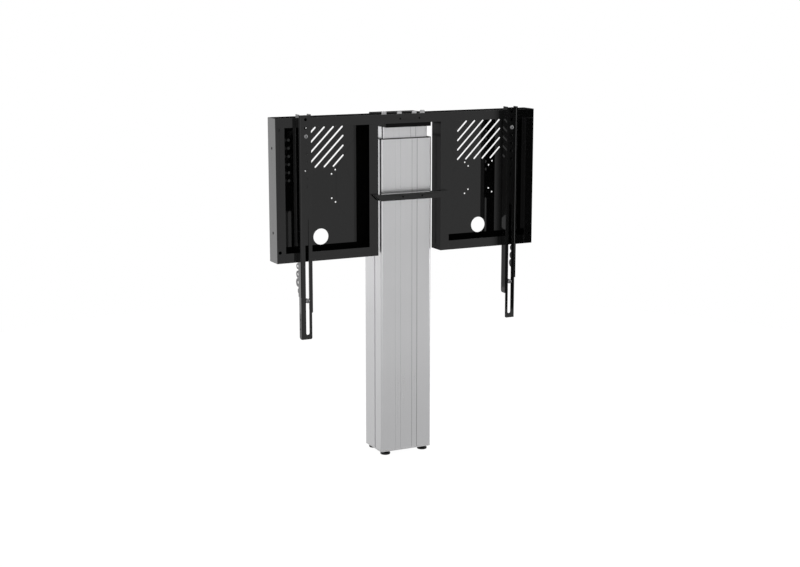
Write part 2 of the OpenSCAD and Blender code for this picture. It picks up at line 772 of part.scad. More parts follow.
// Plate on the outer side; under the frame its rear edge has round teeth with a hole in each
module arm_toothed_plate(s) color("#242424") on_arm(s) translate([rail_out, 0, 0]) difference() {
    union() {
        translate([0, 0, -tooth_down])
            cube([tooth_t, flange_deep, tooth_down + arm_over + plate_rise]);
        translate([0, 0, -frame_h]) cube([tooth_t, arm_deep, frame_h + arm_over + plate_rise]);
        for (k = [0:tooth_count - 1])
            tooth_disc(tooth_y, -tooth_from - k * tooth_pitch, tooth_r + k * tooth_grow, 0);
        tooth_disc(flange_deep - 2, -tooth_down + last_tooth_up, last_tooth_r, 0);
    }
    for (k = [0:tooth_count - 1])
        tooth_disc(tooth_y, -tooth_from - k * tooth_pitch, tooth_hole / 2, eps);
}

// Two screws along Y: the upper one clamps the arm to the frame by the jaw behind the front sheet,
// and the lower one clamps the rail to the side plate's tab
module arm_screws(s) color("gainsboro") on_arm(s) {
    translate([0, 0, -clamp_high]) rotate([90, 0, 0]) button_screw(jaw_y + jaw_t);
    translate([0, 0, -clamp_low]) rotate([90, 0, 0]) button_screw(2 * arm_t);
}

base_plate();
base_screws();
foot(-1, -1);  // foot_front_left
foot(1, -1);  // foot_front_right
foot(-1, 1);  // foot_rear_left
foot(1, 1);  // foot_rear_right
outer_column();
column_cap();
upper_glides();
motor_carrier();
carrier_posts();
gearbox();
motor();
control_box();
screw_bearing();
cable_grommet();
lead_screw();
inner_column();
lower_glides();
nut_plate();
nut_plate_screws();
lead_nut();
head_plate();
head_screws();
head_bracket();
frame_bolts();
top_rail();
outer_post(-1);  // outer_post_left
outer_post(1);  // outer_post_right
inner_post(-1);  // inner_post_left
inner_post(1);  // inner_post_right
sill(-1);  // sill_left
sill(1);  // sill_right
back_panel(-1);  // back_panel_left
back_panel(1);  // back_panel_right
crossbar();
arm_rail(-1);  // arm_rail_left
arm_hook(-1);  // arm_hook_left
arm_jaw(-1);  // arm_jaw_left
arm_side_plate(-1);  // arm_side_plate_left
arm_toothed_plate(-1);  // arm_toothed_plate_left
arm_screws(-1);  // arm_screws_left
arm_rail(1);  // arm_rail_right
arm_hook(1);  // arm_hook_right
arm_jaw(1);  // arm_jaw_right
arm_side_plate(1);  // arm_side_plate_right
arm_toothed_plate(1);  // arm_toothed_plate_right
arm_screws(1);  // arm_screws_right
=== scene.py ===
"""Looks and stage of a motorized display stand, laid out as a Blender add-on."""
import math

import bmesh
import bpy
from mathutils import Matrix, Vector


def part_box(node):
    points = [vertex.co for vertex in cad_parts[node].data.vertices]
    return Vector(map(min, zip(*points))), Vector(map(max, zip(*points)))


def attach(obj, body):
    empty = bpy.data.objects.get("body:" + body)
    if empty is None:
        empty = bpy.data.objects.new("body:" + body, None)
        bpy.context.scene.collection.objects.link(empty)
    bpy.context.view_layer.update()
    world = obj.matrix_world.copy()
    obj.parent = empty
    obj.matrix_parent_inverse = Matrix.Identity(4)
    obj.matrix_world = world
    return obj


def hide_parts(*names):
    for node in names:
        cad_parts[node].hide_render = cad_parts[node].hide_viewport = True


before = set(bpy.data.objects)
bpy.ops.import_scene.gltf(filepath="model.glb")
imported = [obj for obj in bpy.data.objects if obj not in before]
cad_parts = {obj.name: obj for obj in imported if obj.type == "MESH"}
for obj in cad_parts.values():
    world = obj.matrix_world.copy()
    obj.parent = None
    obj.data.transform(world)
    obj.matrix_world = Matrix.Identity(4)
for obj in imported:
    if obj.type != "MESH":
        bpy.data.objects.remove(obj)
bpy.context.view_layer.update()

bl_info = {
    "name": "Motorized Display Stand",
    "version": (1, 0, 0),
    "blender": (4, 5, 0),
    "location": "View3D > Sidebar > Display Stand",
    "description": "Finishes and stage of a lifting column with a display frame",
    "category": "Object",
}

WHITE = (1, 1, 1, 1)

# The photograph's view, fitted to points of the stand: pixels, metres and degrees. Yaw is counted from
# straight ahead towards the right, pitch downwards.
PHOTO_WIDTH = 800
PHOTO_FOCAL = 1475.2
PHOTO_EYE = (-2.0431, -4.1464, 1.4501)
PHOTO_YAW = 26.318
PHOTO_PITCH = 11.080
SENSOR_WIDTH = 36.0

# Sectors of the surround, in degrees round the stand, 0 in front of it and 90 on its right. Each has a
# soft step up between its first two numbers and one down between its last two.
SECTORS = {
    "front": (6.0, 12.0, 31.4, 32.4),
    "dark_right": (29.9, 30.3, 34.5, 37.5),
    "fill": (36.0, 42.0, 110.0, 130.0),
    "right": (62.0, 72.0, 128.0, 136.0),
    "dark_behind": (136.0, 142.0, 164.0, 172.0),
    "back_left": (-174.0, -166.0, -155.9, -154.7),
    "inner": (-154.7, -153.5, -146.0, -138.0),
    "left": (-132.0, -120.0, -12.0, 0.0),
}
# Polished faces lose the fill between these angles
FILL_FADE = (58.0, 70.0)
# Heights of the dark part behind the stand, as the upward share of a direction
DARK_BEHIND_RISE = (0.0, 0.02, 0.25, 0.4)

# Soft lamp, in metres
LAMP_SIZE = (2.2, 1.6)
LAMP_PLACE = (-0.9, -1.0, 2.9)
LAMP_AIM = (0, 0, 0.6)

# Floor: its own light, a little over white so that it stays plain white; how much further off a point
# behind the stand counts than one in front, in the painted shadow that polished faces show; how far it
# lies under the feet
FLOOR_WHITE = 1.04
FLOOR_BEHIND = 2.0
FLOOR_GAP = 0.0005

# Grooves of the profiles, where shade is painted: between which depths they lie, and how far out from the
# middle they reach
GROOVE_DEPTHS = (0.0006, 0.0009, 0.0016, 0.0018)
GROOVE_LIMIT = (0.042, 0.043)
# How far a face has to look left to get the matt coat of painted shade, as the leftward share of its
# normal
FACES_LEFT = (0.6, 0.9)
# Lead screw: distance between two crests, number of threads, and where the crest lies between two roots
LEAD_PITCH = 0.005
LEAD_STARTS = 2.0
LEAD_CREST = (0.08, 0.22, 0.58, 0.72)
# Colors that aren't settings
CAST_GREY = (0.5, 0.5, 0.5)
NEAR_BLACK = (0.02, 0.02, 0.02)
OXIDE_BLACK = (0.045, 0.045, 0.045)

# Meshes, with the depth of a thread as a share of its pitch
WELD_DISTANCE = 0.000002
SOFT_EDGE_ANGLE = math.radians(50)
SHARP_ANGLE = math.radians(32)
HEX_STEPS = 36
THREAD_DEPTH = 0.55

# CAD nodes in plain gloss black
GLOSS_NODES = (
    "top_rail", "back_panel_right", "inner_post_left", "outer_post_left", "outer_post_right", "sill_left",
    "sill_right",
)

# Inside of the crossbar, where painted light makes its shaded inside lighter: just under its sheet, and
# open at its back and its ends
BAR_LOW, BAR_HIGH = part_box("crossbar")
CROSSBAR_INSIDE = (
    (BAR_LOW.x - 0.0115, BAR_LOW.y + 0.0003, BAR_LOW.z + 0.0002),
    (BAR_HIGH.x + 0.0115, BAR_HIGH.y + 0.0004, BAR_HIGH.z - 0.0002),
)

# Bolts, which repeat the part's source: where they are, the thickness they grip and the height of their
# nuts. Each of the clamps is a screw's distance down from the frame's top, and its grip.
FRAME_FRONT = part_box("top_rail")[0].y
FRAME_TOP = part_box("top_rail")[1].z
FRAME_BOLTS = [(side * 0.066, FRAME_FRONT + 0.046) for side in (-1, 1)]
FRAME_BOLTS += [(side * 0.0255, FRAME_FRONT + 0.021) for side in (-1, 1)]
FRAME_GRIP = 0.007
FRAME_NUT = 0.0065
ARM_SLOTS = {"left": -0.3575, "right": 0.348}
ARM_FACE = FRAME_FRONT - 0.025
CLAMPS = ((0.054, 0.0303), (0.551, 0.005))
CLAMP_NUT = 0.005
M8_RADIUS = 0.004
M8_ACROSS = 0.013

# Levelling foot: radius and height of each point of its pad's outline, height of its hexagon neck, and
# radius, pitch and lower end of its threaded stud
FOOT_PAD = (
    (0, 0), (0.0135, 0), (0.0148, 0.0004), (0.0157, 0.0013), (0.016, 0.0024), (0.016, 0.0046),
    (0.0157, 0.0055), (0.0148, 0.0062), (0.0125, 0.0069), (0.0105, 0.0078), (0.0092, 0.008), (0, 0.008),
)
FOOT_NECK = 0.0037
STUD_RADIUS = 0.005
STUD_PITCH = 0.0015
STUD_START = 0.0105


# Settings

class StandStageSettings(bpy.types.PropertyGroup):
    """Light, floor and camera"""

    studio_level: bpy.props.FloatProperty(
        name="Studio level", description="Strength of the white surround, as the object sees it",
        default=1.0, min=0.0, max=2.0)
    side_level: bpy.props.FloatProperty(
        name="Back left level", description="Strength of the surround behind the stand on its left",
        default=1.14, min=0.0, max=3.0)
    inner_level: bpy.props.FloatProperty(
        name="Inner level",
        description="Strength of the surround that the right box's inner post shows",
        default=0.3, min=0.0, max=3.0)
    fill_level: bpy.props.FloatProperty(
        name="Right level", description="Strength of the surround on the stand's right",
        default=1.7, min=0.0, max=3.0)
    # Floor near and far: a painted shadow round the stand, which only polished faces show
    floor_near: bpy.props.FloatProperty(
        name="Floor near",
        description="Brightness of the floor at the foot, where a polished face shows it",
        default=0.445, min=0.0, max=1.0)
    floor_far: bpy.props.FloatProperty(
        name="Floor far",
        description="Brightness of the floor far behind the stand, where a polished face shows it",
        default=0.70, min=0.0, max=1.0)
    front_level: bpy.props.FloatProperty(
        name="Front level", description="Strength of the surround that the front faces show",
        default=0.53, min=0.0, max=2.0)
    aside_drop: bpy.props.FloatProperty(
        name="Drop aside", description="How much weaker polished faces show the surround at the sides",
        default=0.3, min=0.0, max=1.0)
    dark_level: bpy.props.FloatProperty(
        name="Dark side", description="Strength of the surround's dark parts",
        default=0.01, min=0.0, max=1.0)
    top_lamp: bpy.props.FloatProperty(
        name="Top lamp", description="Power of the soft lamp over the stand", default=9.0, min=0.0,
        unit="POWER")
    floor_radius: bpy.props.FloatProperty(
        name="Floor radius", description="Radius of the pale floor",
        default=2.4, min=0.5, unit="LENGTH")
    floor_glow: bpy.props.FloatProperty(
        name="Floor glow", description="Share of plain white in the floor, which leaves a faint shadow",
        default=0.93, min=0.0, max=1.0)
    floor_color: bpy.props.FloatVectorProperty(
        name="Floor color", description="Color of the floor", default=(0.93, 0.93, 0.93), size=3,
        min=0.0, max=1.0, subtype="COLOR")


class StandMetalSettings(bpy.types.PropertyGroup):
    """Bare metals"""

    extrusion_color: bpy.props.FloatVectorProperty(
        name="Extrusion", description="Color of the anodised profiles",
        default=(0.88, 0.88, 0.89), size=3, min=0.0, max=1.0, subtype="COLOR")
    zinc_color: bpy.props.FloatVectorProperty(
        name="Zinc", description="Color of the plated bolts", default=(0.74, 0.74, 0.75), size=3,
        min=0.0, max=1.0, subtype="COLOR")
    steel_color: bpy.props.FloatVectorProperty(
        name="Steel", description="Color of machined steel", default=(0.55, 0.55, 0.56), size=3,
        min=0.0, max=1.0, subtype="COLOR")
    brass_color: bpy.props.FloatVectorProperty(
        name="Brass", description="Color of the lead screw's nut", default=(0.75, 0.58, 0.28), size=3,
        min=0.0, max=1.0, subtype="COLOR")


class StandCoatSettings(bpy.types.PropertyGroup):
    """Paint and plastic"""

    # Painted light: a lighter color inside the crossbar, where it lies in shade
    painted_light_color: bpy.props.FloatVectorProperty(
        name="Painted light inside", description="Color of the painted light inside the crossbar",
        default=(0.035, 0.035, 0.035), size=3, min=0.0, max=1.0, subtype="COLOR")
    paint_color: bpy.props.FloatVectorProperty(
        name="Frame paint", description="Color of the gloss powder coat",
        default=(0.0015, 0.0015, 0.0015), size=3, min=0.0, max=1.0, subtype="COLOR")
    plastic_color: bpy.props.FloatVectorProperty(
        name="Black plastic", description="Color of the cap ring and the grommet",
        default=(0.012, 0.012, 0.012), size=3, min=0.0, max=1.0, subtype="COLOR")
    glide_color: bpy.props.FloatVectorProperty(
        name="Glides", description="Color of the sliding pads", default=(0.82, 0.82, 0.79), size=3,
        min=0.0, max=1.0, subtype="COLOR")
    panel_lean: bpy.props.FloatProperty(
        name="Panel lean",
        description="Slope of the left back panel's sheet, seen only in what it mirrors",
        default=0.062, min=-0.1, max=0.1, precision=3)
    # Painted shade: a matt coat with little sheen on the faces of the right box's inner post that look
    # left
    inner_painted_shade: bpy.props.FloatProperty(
        name="Inner painted shade",
        description="Share of matt coat on the outside of the right box's inner post",
        default=0.88, min=0.0, max=1.0)
    edge_radius: bpy.props.FloatProperty(
        name="Edge", description="Width of the soft edge on sheet metal", default=0.0004, min=0.0,
        max=0.002, unit="LENGTH", precision=5)


class StandBoltSettings(bpy.types.PropertyGroup):
    """Bolts and feet"""

    thread_pitch: bpy.props.FloatProperty(
        name="Thread pitch", description="Distance between the turns of an M8 thread", default=0.00125,
        min=0.0005, max=0.003, unit="LENGTH", precision=5)
    foot_hex: bpy.props.FloatProperty(
        name="Foot hexagon", description="Width over the flats of a foot's neck", default=0.0146,
        min=0.008, max=0.02, unit="LENGTH", precision=4)


# Shader maths

class Sock:
    """A shader socket that Python's operators work on"""

    def __init__(self, surface, socket):
        self.surface = surface
        self.socket = socket

    def __neg__(self):
        return self.surface.maths("SUBTRACT", 0.0, self)

    def __add__(self, other):
        return self.surface.maths("ADD", self, other)

    def __radd__(self, other):
        return self.surface.maths("ADD", other, self)

    def __sub__(self, other):
        return self.surface.maths("SUBTRACT", self, other)

    def __rsub__(self, other):
        return self.surface.maths("SUBTRACT", other, self)

    def __mul__(self, other):
        return self.surface.maths("MULTIPLY", self, other)

    def __rmul__(self, other):
        return self.surface.maths("MULTIPLY", other, self)

    def __truediv__(self, other):
        return self.surface.maths("DIVIDE", self, other)

    def __rtruediv__(self, other):
        return self.surface.maths("DIVIDE", other, self)

    def __gt__(self, other):
        return self.surface.maths("GREATER_THAN", self, other)

    def __lt__(self, other):
        return self.surface.maths("LESS_THAN", self, other)


class Surface:
    """The nodes of one material or world"""

    def __init__(self, owner):
        owner.use_nodes = True
        self.tree = owner.node_tree
        self.tree.nodes.clear()

    def node(self, kind, settings=None, inputs=None, output=0):
        """Adds a node, sets it up, feeds its sockets and gives one of its outputs"""
        made = self.tree.nodes.new(kind)
        for name, value in (settings or {}).items():
            setattr(made, name, value)
        for key, value in (inputs or {}).items():
            if isinstance(value, Sock):
                self.tree.links.new(value.socket, made.inputs[key])
            else:
                made.inputs[key].default_value = value
        return Sock(self, made.outputs[output]) if len(made.outputs) else None

    def maths(self, operation, *values):
        """A Math node on one or two values"""
        return self.node("ShaderNodeMath", {"operation": operation}, dict(enumerate(values)))

    def place(self):
        """Place on the object, in metres"""
        return self.node("ShaderNodeTexCoord", output="Object")

    def axes(self, vector):
        """The three numbers of a vector"""
        split = self.node("ShaderNodeSeparateXYZ", inputs={0: vector})
        return [Sock(self, out) for out in split.socket.node.outputs]

    def noise(self, scale, detail=2.0, roughness=0.5, vector=None):
        """Noise over the place on the object, or over another vector"""
        return self.node("ShaderNodeTexNoise", inputs={
            "Vector": vector or self.place(), "Scale": scale, "Detail": detail, "Roughness": roughness})

    def streaks(self, across, along, detail):
        """Noise with one scale across and another along the Z axis"""
        x, y, z = self.axes(self.place())
        stretched = self.node("ShaderNodeCombineXYZ", inputs={0: x * across, 1: y * across, 2: z * along})
        return self.noise(1.0, detail, vector=stretched)

    def smooth(self, value, low, high):
        """0 below low, 1 above high, with a soft step between"""
        return self.node(
            "ShaderNodeMapRange", {"interpolation_type": "SMOOTHSTEP"},
            {"Value": value, "From Min": low, "From Max": high, "To Min": 0.0, "To Max": 1.0})

    def band(self, value, start, full, fade, end):
        """0 outside start and end, 1 from full to fade, with a soft step on either side"""
        return self.smooth(value, start, full) * (1.0 - self.smooth(value, fade, end))

    def mix(self, factor, first, second):
        """Mix of two colors"""
        return self.node("ShaderNodeMix", {"data_type": "RGBA"}, {0: factor, 6: first, 7: second}, 2)

    def tint(self, factor, color, low, high):
        """A color whose brightness goes from low to high of its own with a factor"""
        return self.mix(factor, shade(color, low), shade(color, high))

    def bump(self, height, strength, distance, **under):
        """A bump, on top of another one where that is given as Normal"""
        return self.node("ShaderNodeBump", inputs={
            "Height": height, "Strength": strength, "Distance": distance, **under})

    def glow(self, level):
        """White light of its own"""
        return self.node("ShaderNodeEmission", inputs={"Color": WHITE, "Strength": level})

    def shader(self, **sockets):
        """A Principled shader, with its sockets by name and underscores for spaces"""
        return self.node("ShaderNodeBsdfPrincipled", inputs={
            key.replace("_", " "): value for key, value in sockets.items()})

    def mix_shaders(self, factor, first, second):
        return self.node("ShaderNodeMixShader", inputs={0: factor, 1: first, 2: second})

    def show(self, shader):
        self.node("ShaderNodeOutputMaterial", inputs={"Surface": shader})

    def principled(self, **sockets):
        self.show(self.shader(**sockets))


def shade(color, factor):
    """A color with its brightness changed"""
    return tuple(min(1.0, channel * factor) for channel in color[:3]) + (1.0,)


def material(name):
    """A material, new or emptied, and its nodes"""
    made = bpy.data.materials.get(name) or bpy.data.materials.new(name)
    return made, Surface(made)


# Finishes

def anodised_profile(name, color, face):
    """Satin anodised extrusion with fine die lines along its length, and painted shade in its grooves.
    Face is how far its front and back lie from the middle."""
    made, surface = material(name)
    x, y = surface.axes(surface.place())[:2]
    sunk = face - surface.maths("ABSOLUTE", y)
    groove = surface.band(sunk, *GROOVE_DEPTHS)
    groove = groove * (1.0 - surface.smooth(surface.maths("ABSOLUTE", x), *GROOVE_LIMIT))
    lines = surface.streaks(across=900.0, along=1.5, detail=3.0)
    clouds = surface.noise(6.0)
    grain = surface.noise(5200.0, detail=1.0)
    tone = surface.tint(lines * 0.5 + clouds * 0.5, color, 0.95, 1.05)
    # Painted shade in the grooves: pale left of the middle, and dark right of it
    groove_shade = surface.tint(surface.smooth(x, -0.001, 0.001), color, 0.95, 0.45)
    surface.principled(
        Base_Color=surface.mix(groove, tone, groove_shade), Metallic=1.0,
        Roughness=0.24 + lines * 0.06 + clouds * 0.04,
        Normal=surface.bump(lines * 0.7 + grain * 0.3, strength=0.05, distance=0.0002))
    return made


def machined_metal(name, color, roughness=0.34):
    """Turned or milled metal with fine tool marks"""
    made, surface = material(name)
    marks = surface.streaks(across=60.0, along=2600.0, detail=2.0)
    stains = surface.noise(45.0, detail=3.0)
    surface.principled(
        Base_Color=surface.tint(stains, color, 0.88, 1.08), Metallic=1.0,
        Roughness=roughness - 0.05 + marks * 0.06 + stains * 0.08,
        Normal=surface.bump(marks, strength=0.12, distance=0.0001))
    return made


def cast_metal(name, color):
    """Die-cast housing with a fine sandy skin"""
    made, surface = material(name)
    skin = surface.noise(1600.0, detail=3.0)
    patches = surface.noise(30.0)
    surface.principled(
        Base_Color=surface.tint(patches, color, 0.9, 1.1), Metallic=0.9,
        Roughness=0.45 + skin * 0.12, Normal=surface.bump(skin, strength=0.3, distance=0.0003))
    return made


def gloss_paint(name, color, roughness=0.02, peel=0.012, lean=0.0, painted_shade_share=0.0, painted_light_box=None):
    """Smooth powder coat with a faint orange peel. Lean is the slope of a sheet that isn't quite flat;
    the next argument is the share of a matt coat with little sheen on the faces that look left, as
    painted shade;
    the last holds the two corners of a box with painted light, in which the shaded coat is lighter, and
    its color there."""
    made, surface = material(name)
    haze = surface.noise(18.0)
    tone = surface.tint(haze, color, 0.8, 1.25)
    waves = surface.noise(260.0, detail=1.0, roughness=0.4)
    skin = surface.bump(waves, strength=peel, distance=0.0001)
    # Painted light: inside the given box, the shaded coat gets a lighter color
    if painted_light_box:
        low, high, painted_light_color = painted_light_box
        inside = 1.0
        for value, least, most in zip(surface.axes(surface.place()), low, high):
            inside = (value > least) * (value < most) * inside
        tone = surface.mix(inside, tone, shade(painted_light_color, 1.0))
    if lean:
        across = surface.axes(surface.place())[0]
        skin = surface.bump(across * lean, strength=1.0, distance=1.0, Normal=skin)
    paint = surface.shader(
        Base_Color=tone, Roughness=roughness + haze * 0.012, IOR=1.5, Coat_Weight=0.35,
        Coat_Roughness=0.02, Normal=skin)
    # Painted shade: faces that look left get a matt coat with little sheen, which makes them darker
    if painted_shade_share:
        facing = surface.axes(surface.node("ShaderNodeTexCoord", output="Normal"))[0]
        matt = surface.shader(Base_Color=tone, Roughness=0.5, Specular_IOR_Level=0.06, Normal=skin)
        paint = surface.mix_shaders(surface.smooth(-facing, *FACES_LEFT) * painted_shade_share, paint, matt)
    surface.show(paint)
    return made


def matt_paint(name, color):
    """Dull black coat of the parts behind the frame"""
    made, surface = material(name)
    haze = surface.noise(40.0)
    waves = surface.noise(700.0)
    surface.principled(
        Base_Color=surface.tint(haze, color, 0.8, 1.25), Roughness=0.42 + haze * 0.1,
        Specular_IOR_Level=0.1, Normal=surface.bump(waves, strength=0.1, distance=0.0001))
    return made


def grained_plastic(name, color, roughness=0.42):
    """Moulded plastic with a fine grain"""
    made, surface = material(name)
    grain = surface.noise(2400.0)
    haze = surface.noise(35.0)
    surface.principled(
        Base_Color=surface.tint(haze, color, 0.85, 1.2), Roughness=roughness + grain * 0.1,
        Normal=surface.bump(grain, strength=0.2, distance=0.00015))
    return made


def screw_thread_steel(name, color, pitch, starts):
    """Steel rod that shows the turns of its trapezoidal thread, with painted shade in the thread's roots
    """
    made, surface = material(name)
    x, y, z = surface.axes(surface.place())
    turn = surface.maths("ARCTAN2", y, x) / (2 * math.pi)
    crest = surface.band(surface.maths("FRACT", z / pitch - turn * starts), *LEAD_CREST)
    # Painted shade: the thread's roots are darker than its crests
    surface.principled(
        Base_Color=surface.tint(crest, color, 0.45, 1.05), Metallic=1.0,
        Roughness=0.42 - crest * 0.16, Normal=surface.bump(crest, strength=0.8, distance=0.001))
    return made


# Mesh tools

def soft_edges(obj, width):
    """Small rounded edges on a CAD node, which catch the light as real edges do"""
    weld = obj.modifiers.new("weld", "WELD")
    weld.merge_threshold = WELD_DISTANCE
    bevel = obj.modifiers.new("edge", "BEVEL")
    bevel.width = width
    bevel.segments = 2
    bevel.limit_method = "ANGLE"
    bevel.angle_limit = SOFT_EDGE_ANGLE
    bevel.harden_normals = True


def finish_node(name, finish, edge=0.0):
    """Gives a CAD node its material, and soft edges if it has a width for them"""
    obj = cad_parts[name]
    slots = obj.material_slots
    if slots:
        for slot in slots:
            slot.material = finish
    else:
        obj.data.materials.append(finish)
    if edge:
        soft_edges(obj, edge)


def vertex(mesh, matrix, turn, out, height):
    """A new corner, from its angle round the local Z axis, its distance from it and its height"""
    return mesh.verts.new(matrix @ Vector((out * math.cos(turn), out * math.sin(turn), height)))


def ring(mesh, matrix, height, reaches):
    """Corners at even steps round the local Z axis, each as far out as its reach says"""
    step = 2 * math.pi / len(reaches)
    return [vertex(mesh, matrix, step * k, out, height) for k, out in enumerate(reaches)]


def join_rings(mesh, rings):
    """Faces between each ring and the next, where a ring of one corner is a tip"""
    for low, high in zip(rings, rings[1:]):
        for k in range(max(len(low), len(high))):
            here, after = k, k + 1
            quad = (
                low[here % len(low)], low[after % len(low)],
                high[after % len(high)], high[here % len(high)])
            corners = list(dict.fromkeys(quad))
            if len(corners) > 2:
                mesh.faces.new(corners)


def lathe(mesh, profile, matrix, steps):
    """Turns a profile of (radius, height) points round the local Z axis into a bmesh"""
    join_rings(mesh, [
        ring(mesh, matrix, height, [radius] * (steps if radius else 1)) for radius, height in profile])


def hexagon(across, steps, limit=math.inf):
    """How far a hexagon reaches at each step round it, from its width over the flats, up to a limit"""
    reaches = []
    for k in range(steps):
        from_flat = (2 * math.pi * k / steps + math.pi / 6) % (math.pi / 3) - math.pi / 6
        reaches.append(min(across / 2 / math.cos(from_flat), limit))
    return reaches


def hex_head(mesh, across, height, matrix):
    """Hexagon with chamfered corners at its top, as on a forged bolt head"""
    flat = across / 2
    widest = flat / math.cos(math.pi / 6)
    chamfer = widest - flat * 0.96
    levels = [(widest, 0.0)]
    for step in range(4):
        share = step / 3
        levels.append((widest - share * chamfer, height - (1 - share) * chamfer * 0.55))
    levels.append((flat * 0.90, height))
    rings = [ring(mesh, matrix, level, hexagon(across, HEX_STEPS, limit)) for limit, level in levels]
    join_rings(mesh, rings)
    mesh.faces.new(list(reversed(rings[0])))
    mesh.faces.new(rings[-1])


def thread(mesh, radius, pitch, start, length, matrix, steps=20):
    """Rod with a helical V thread, from start along the local -Z axis"""
    root = radius - pitch * THREAD_DEPTH
    turns = max(1, int(length / pitch))
    rows = []
    for level in range(turns * 2 + 1):
        out = radius if level % 2 else root
        row = []
        for k in range(steps):
            height = max(start - (level / 2 + k / steps) * pitch, start - length)
            row.append(vertex(mesh, matrix, 2 * math.pi * k / steps, out, height))
        rows.append(row)
    for upper, lower in zip(rows, rows[1:]):
        for k in range(steps - 1):
            mesh.faces.new((upper[k], lower[k], lower[k + 1], upper[k + 1]))
    for upper, lower, next_upper, next_lower in zip(rows, rows[1:], rows[2:], rows[3:]):
        mesh.faces.new((upper[-1], lower[-1], next_lower[0], next_upper[0]))
    for row in (rows[0], rows[-1]):
        tip = mesh.verts.new(sum((vert.co for vert in row), Vector()) / steps)
        for k in range(steps - 1):
            mesh.faces.new((row[k], row[k + 1], tip))


def shank_and_nut(mesh, matrix, grip, nut, pitch):
    """M8 shank, thread and nut that hang down from the local origin"""
    top, end = 0.0005, 0.001 - grip
    lathe(mesh, [(0, top), (M8_RADIUS, top), (M8_RADIUS, end), (0, end)], matrix, steps=24)
    thread(mesh, M8_RADIUS, pitch, end, nut + 0.002, matrix)
    turned = matrix @ Matrix.Translation((0, 0, -grip)) @ Matrix.Rotation(math.pi, 4, "X")
    hex_head(mesh, M8_ACROSS, nut, turned)


def hex_bolt(mesh, matrix, grip, nut, pitch):
    """M8 hex bolt with its nut; the head's underside is at the local origin, the head along +Z"""
    head, collar, collar_radius = 0.0053, 0.0004, M8_ACROSS * 0.47
    lathe(mesh, [(0, 0), (collar_radius, 0), (collar_radius, collar), (0, collar)], matrix, steps=40)
    hex_head(mesh, M8_ACROSS, head - collar, matrix @ Matrix.Translation((0, 0, collar)))
    shank_and_nut(mesh, matrix, grip, nut, pitch)


def button_screw(mesh, matrix, grip, nut, pitch):
    """M8 button head screw with its nut, domed, with a hexagon socket"""
    radius, rim, height, top = 0.0068, 0.0007, 0.0042, 0.0031
    socket, depth = 0.005, 0.0025
    steps, arc = 48, 12
    dome = [(0.0041, 0), (radius - 0.0002, 0), (radius, 0.0002), (radius, rim)]
    for step in range(1, arc + 1):
        turn = math.pi / 2 * step / arc
        out = radius - (radius - top) * (1 - math.cos(turn))
        dome.append((out, rim + (height - rim) * math.sin(turn)))
    lathe(mesh, dome, matrix, steps)
    rings = [ring(mesh, matrix, height, [top] * steps)]
    for level in (height, height - depth):
        rings.append(ring(mesh, matrix, level, hexagon(socket, steps)))
    join_rings(mesh, rings)
    mesh.faces.new(rings[-1])
    shank_and_nut(mesh, matrix, grip, nut, pitch)


def piece(name, mesh, finish, body, replaced):
    """Makes a bmesh into an object that rides on a body and stands for CAD nodes"""
    bmesh.ops.recalc_face_normals(mesh, faces=mesh.faces)
    data = bpy.data.meshes.new(name)
    mesh.to_mesh(data)
    mesh.free()
    data.materials.append(finish)
    obj = bpy.data.objects.new(name, data)
    bpy.context.scene.collection.objects.link(obj)
    for face in data.polygons:
        face.use_smooth = True
    data.set_sharp_from_angle(angle=SHARP_ANGLE)
    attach(obj, body)
    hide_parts(*replaced)


# Operators

